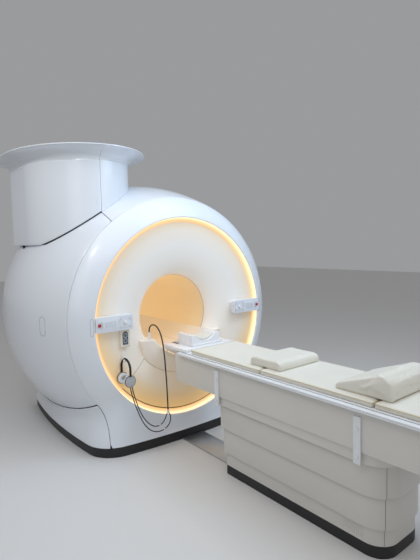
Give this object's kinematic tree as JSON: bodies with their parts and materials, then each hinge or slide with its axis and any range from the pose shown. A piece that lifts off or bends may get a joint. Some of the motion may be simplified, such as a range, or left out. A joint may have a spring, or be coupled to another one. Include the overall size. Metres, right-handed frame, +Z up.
{
  "type": "mri scanner",
  "caption": "Wide-bore magnetic resonance scanner: drum housing with a lit funnel mouth, turret to the ceiling, and a lifting patient table that slides into the bore.",
  "frame": {"origin": "on the floor under the middle of the magnet", "axes": "+X to the right of someone who faces the bore, +Y into the bore, +Z up"},
  "size_m": [2.3775, 4.113, 2.4482],
  "materials": {
    "cover_white": "glossy moulded cover, cool white",
    "funnel_white": "glossy moulded funnel, warm white",
    "diffuser": "lit light ring, warm",
    "liner_white": "glossy white glide liner",
    "tube_white": "satin bore tube",
    "skirt_black": "black kick skirt",
    "vessel_steel": "welded stainless vessel",
    "former_resin": "glass-fibre coil former",
    "winding_copper": "enamelled copper windings",
    "gradient_resin": "epoxy potting",
    "frame_grey": "painted steel frame",
    "pipe_metal": "spun pipe",
    "board_white": "glossy control board with raised keys",
    "display_cream": "display housing",
    "display_grey": "dark display window",
    "stop_red": "red stop cap",
    "knob_white": "white knob",
    "hook_white": "white hook",
    "band_black": "black headband",
    "cup_grey": "grey ear cup",
    "hose_black": "black hose",
    "fitting_white": "white fitting",
    "duct_metal": "floor duct plate",
    "panel_grey": "satin off-white panel",
    "carrier_grey": "satin off-white beam",
    "rail_white": "white side rail",
    "lift_grey": "lift frame",
    "lift_bright": "lift stages",
    "board_gloss": "glossy laminate tabletop",
    "pad_cream": "cream vinyl over foam",
    "coil_base": "head support moulding"
  },
  "bodies": {
    "magnet": {"base_frame": "frame_grey", "vacuum_vessel": "vessel_steel", "helium_vessel": "vessel_steel", "turret_neck": "vessel_steel", "cold_head": "vessel_steel", "coil_former": "former_resin", "main_coils": "winding_copper", "body_coil": "winding_copper", "gradient_coil": "gradient_resin", "quench_pipe": "pipe_metal", "front_bezel": "cover_white", "top_cover": "cover_white", "side_cover_left": "cover_white", "side_cover_right": "cover_white", "rear_cover": "cover_white", "apron_left": "cover_white", "apron_right": "cover_white", "turret_shell": "cover_white", "turret_front": "cover_white", "ceiling_collar": "cover_white", "base_skirt": "skirt_black", "table_plinth": "skirt_black", "light_ring": "diffuser", "front_funnel": "funnel_white", "service_panel": "funnel_white", "bridge": "funnel_white", "rear_funnel": "funnel_white", "bore_liner": "liner_white", "bore_tube": "tube_white", "control_panel_left": "board_white", "control_panel_right": "board_white", "display_box": "display_cream", "display_window": "display_grey", "headset_hook": "hook_white", "headset_band": "band_black", "headset_cups": "cup_grey", "hose_main": "hose_black", "hose_inner": "hose_black", "hose_outer": "hose_black", "hose_fittings": "fitting_white", "hose_plug": "fitting_white", "floor_duct": "duct_metal", "table_panel_base": "panel_grey", "lift_base": "lift_grey"},
    "stop_left": {"stop_left": "stop_red"},
    "stop_right": {"stop_right": "stop_red"},
    "jog_left": {"jog_left": "knob_white"},
    "jog_right": {"jog_right": "knob_white"},
    "panel_low": {"table_panel_low": "panel_grey"},
    "panel_mid": {"table_panel_mid": "panel_grey", "lift_stage": "lift_bright"},
    "carrier": {"carrier_shell": "carrier_grey", "side_rails": "rail_white", "rail_brackets": "rail_white", "lift_ram": "lift_bright"},
    "tabletop": {"tabletop": "board_gloss", "mattress": "pad_cream", "leg_cushions": "pad_cream", "head_support": "coil_base", "head_pad": "pad_cream"}
  },
  "joints": [
    {"name": "table_lift", "type": "slide", "parent": "magnet", "child": "carrier", "axis": [0, 0, 1], "range_m": [-0.38, 0]},
    {"name": "tabletop_travel", "type": "slide", "parent": "carrier", "child": "tabletop", "axis": [0, 1, 0], "range_m": [0, 1.5]},
    {"name": "panel_low_travel", "type": "slide", "parent": "magnet", "child": "panel_low", "axis": [0, 0, 1], "range_m": [-0.095, 0]},
    {"name": "panel_mid_travel", "type": "slide", "parent": "magnet", "child": "panel_mid", "axis": [0, 0, 1], "range_m": [-0.247, 0]},
    {"name": "stop_left_push", "type": "slide", "parent": "magnet", "child": "stop_left", "axis": [0, 1, 0], "range_m": [0, 0.004], "stiffness_N_per_m": 400},
    {"name": "stop_right_push", "type": "slide", "parent": "magnet", "child": "stop_right", "axis": [0, 1, 0], "range_m": [0, 0.004], "stiffness_N_per_m": 400},
    {"name": "jog_left_turn", "type": "hinge", "parent": "magnet", "child": "jog_left", "pos_m": [-0.596, -0.872, 1.071], "axis": [0, 1, 0], "range_deg": [-45, 45], "stiffness_Nm_per_rad": 0.05},
    {"name": "jog_right_turn", "type": "hinge", "parent": "magnet", "child": "jog_right", "pos_m": [0.596, -0.872, 1.071], "axis": [0, 1, 0], "range_deg": [-45, 45], "stiffness_Nm_per_rad": 0.05}
  ],
  "couplings": [
    {"joint": "panel_low_travel", "follows": "table_lift", "ratio": 0.25},
    {"joint": "panel_mid_travel", "follows": "table_lift", "ratio": 0.65}
  ]
}
